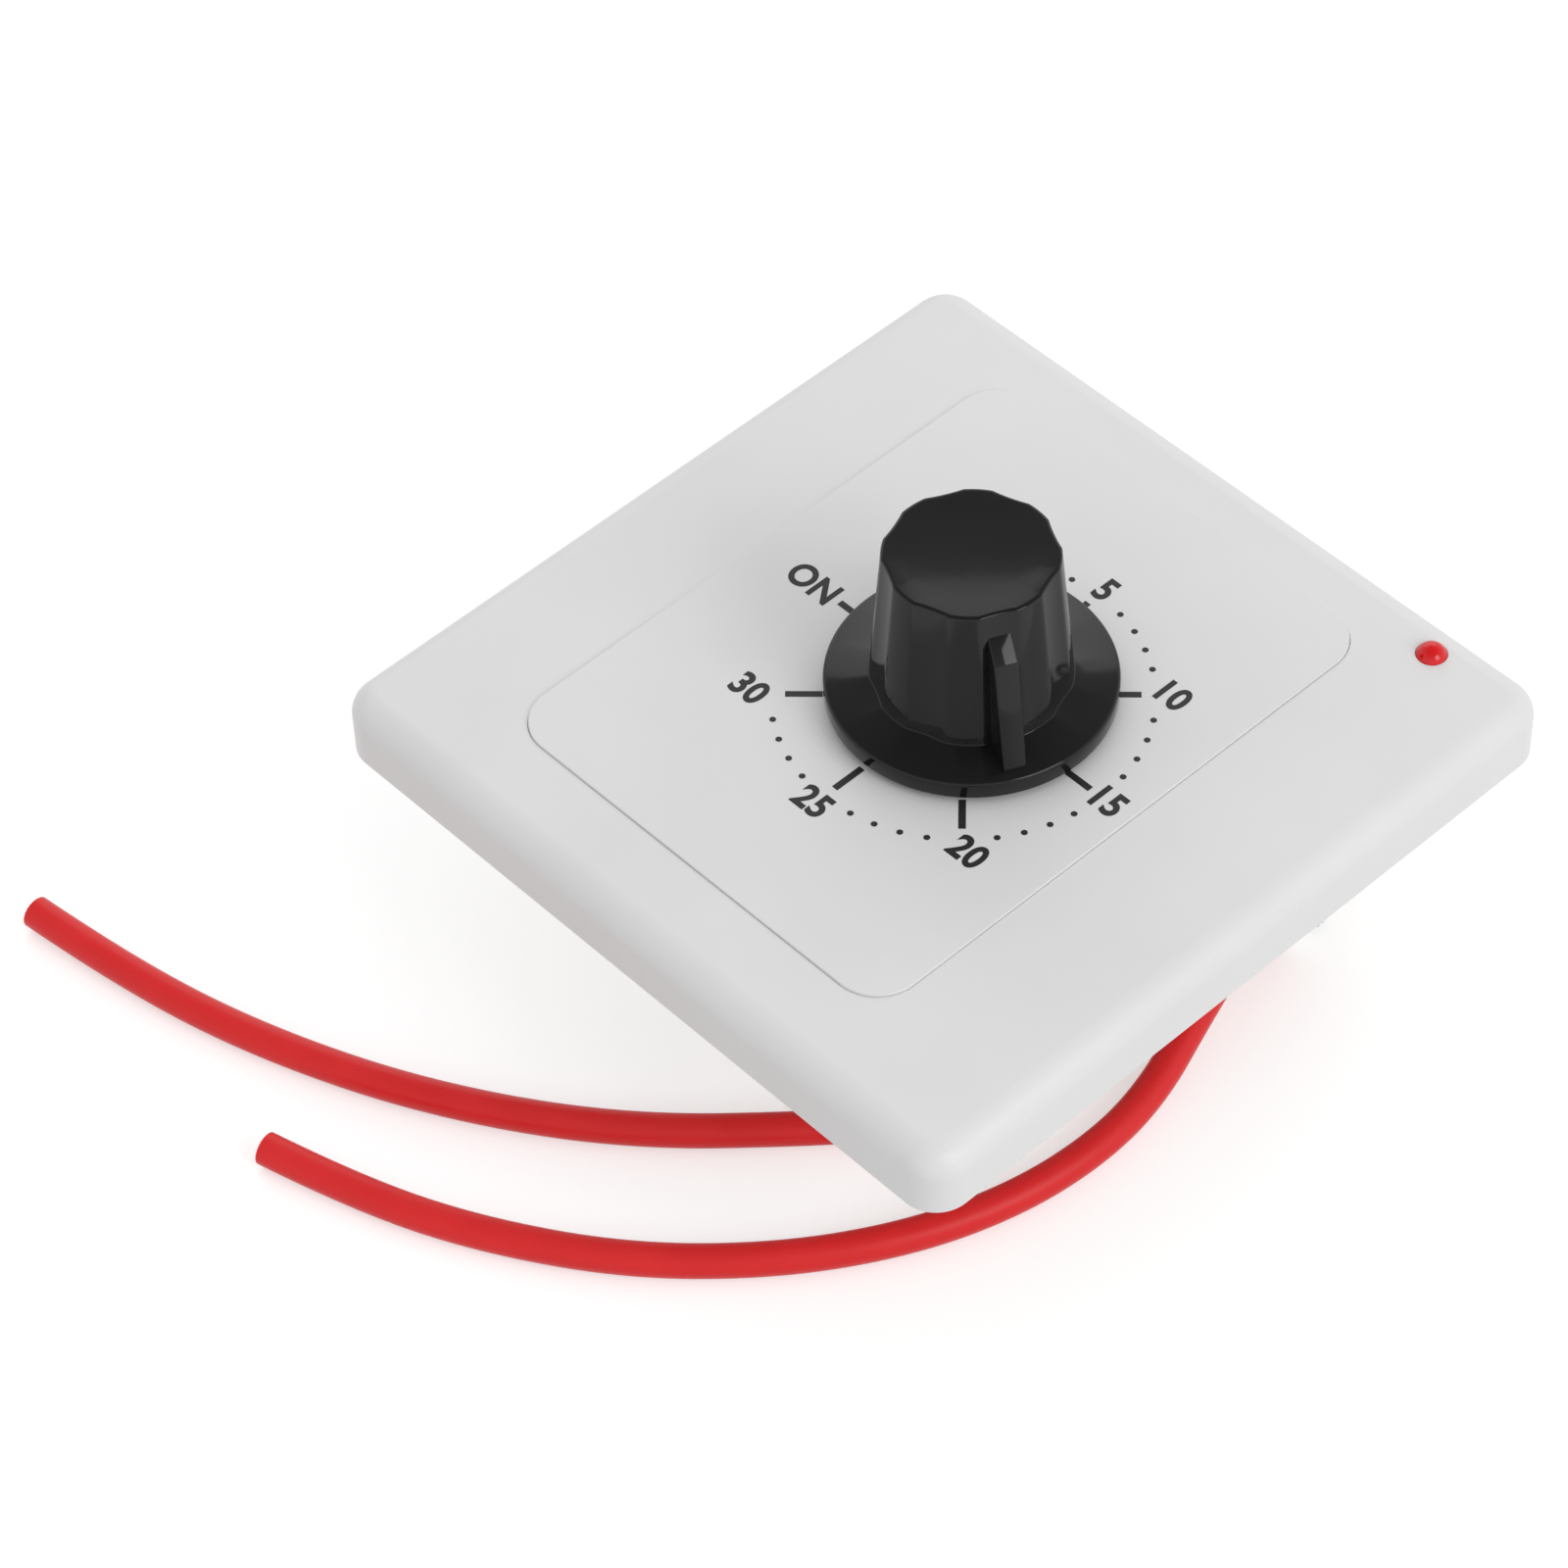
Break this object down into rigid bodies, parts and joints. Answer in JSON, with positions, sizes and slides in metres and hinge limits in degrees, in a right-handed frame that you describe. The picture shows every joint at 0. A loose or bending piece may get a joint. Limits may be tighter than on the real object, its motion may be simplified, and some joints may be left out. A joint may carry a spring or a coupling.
{
  "type": "timer light switch",
  "caption": "Square white wall plate with a black rotary run-back timer knob, a red indicator lamp, a clockwork case behind it and two red lead wires.",
  "frame": {"origin": "centre of the square wall plate, on the surface that the rear case stands on", "axes": "X to the right along the lettering of the dial, Y up the dial, Z out of the plate towards the user"},
  "size_m": [0.1116, 0.1143, 0.0582],
  "materials": {
    "white_plastic": "satin moulded",
    "cream_plastic": "matt moulded",
    "black_plastic": "glossy moulded",
    "red_lens": "clear glossy",
    "red_insulation": "smooth soft sheath",
    "brown_phenolic": "matt moulded",
    "copper": "bright drawn",
    "brass": "bright rolled",
    "steel": "turned",
    "blued_steel": "tempered strip",
    "silver_contact": "polished"
  },
  "bodies": {
    "housing": {"face_cover": "white_plastic", "dial_panel": "white_plastic", "base_plate": "cream_plastic", "rear_case": "cream_plastic", "terminal_block": "cream_plastic", "terminal_cap": "cream_plastic", "terminal_clamps": "brass", "terminal_screws": "steel", "wire_cores": "copper", "wire_insulation_ends": "red_insulation", "red_wire_a": "red_insulation", "red_wire_b": "red_insulation", "movement_front_plate": "brass", "movement_back_plate": "brass", "movement_pillars": "steel", "pillar_screws_front": "steel", "pillar_screws_rear": "steel", "front_bush": "brass", "stop_post": "steel", "spring_post": "steel", "movement_screws": "steel", "case_screws": "steel", "mainspring": "blued_steel", "contact_block": "brown_phenolic", "contact_block_screw": "steel", "moving_contact_leaf": "brass", "fixed_contact_leaf": "brass", "moving_contact": "silver_contact", "fixed_contact": "silver_contact", "indicator_lamp": "red_lens", "lamp_leads": "steel", "lamp_resistor": "brown_phenolic", "lamp_wires": "black_plastic"},
    "knob_and_arbor": {"knob": "black_plastic", "knob_insert": "brass", "knob_grub_screw": "steel", "main_arbor": "steel", "spring_hub": "brass", "stop_arm": "steel", "clutch_collar": "brass", "clutch_washer": "steel", "great_wheel": "brass", "arbor_clip": "steel", "cam_disc": "cream_plastic"},
    "second_wheel_set": {"second_arbor": "steel", "second_wheel": "brass"},
    "third_wheel_set": {"third_arbor": "steel", "third_wheel": "brass"},
    "escape_wheel_set": {"escape_arbor": "steel", "escape_wheel": "brass"},
    "balance_set": {"balance_arbor": "steel", "pallet_lever": "brass", "pallet_pins": "steel", "balance_wheel": "brass"}
  },
  "joints": [
    {"name": "knob_turn", "type": "hinge", "parent": "housing", "child": "knob_and_arbor", "pos_m": [0.0025, 0.0019, 0.015], "axis": [0, 0, 1], "range_deg": [-108.5, 206.5], "deforming": ["mainspring", "moving_contact_leaf", "moving_contact"]},
    {"name": "second_wheel_turn", "type": "hinge", "parent": "housing", "child": "second_wheel_set", "pos_m": [-0.00634, 0.01074, 0.015], "axis": [0, 0, 1], "continuous": true},
    {"name": "third_wheel_turn", "type": "hinge", "parent": "housing", "child": "third_wheel_set", "pos_m": [-0.00808, 0.02059, 0.015], "axis": [0, 0, 1], "continuous": true},
    {"name": "escape_wheel_turn", "type": "hinge", "parent": "housing", "child": "escape_wheel_set", "pos_m": [0.00132, 0.02401, 0.015], "axis": [0, 0, 1], "continuous": true},
    {"name": "balance_swing", "type": "hinge", "parent": "housing", "child": "balance_set", "pos_m": [0.00507, 0.01751, 0.015], "axis": [0, 0, 1], "range_deg": [-5, 5]}
  ],
  "couplings": [
    {"joint": "second_wheel_turn", "follows": "knob_turn", "ratio": -4},
    {"joint": "third_wheel_turn", "follows": "knob_turn", "ratio": 16},
    {"joint": "escape_wheel_turn", "follows": "knob_turn", "ratio": -64}
  ]
}
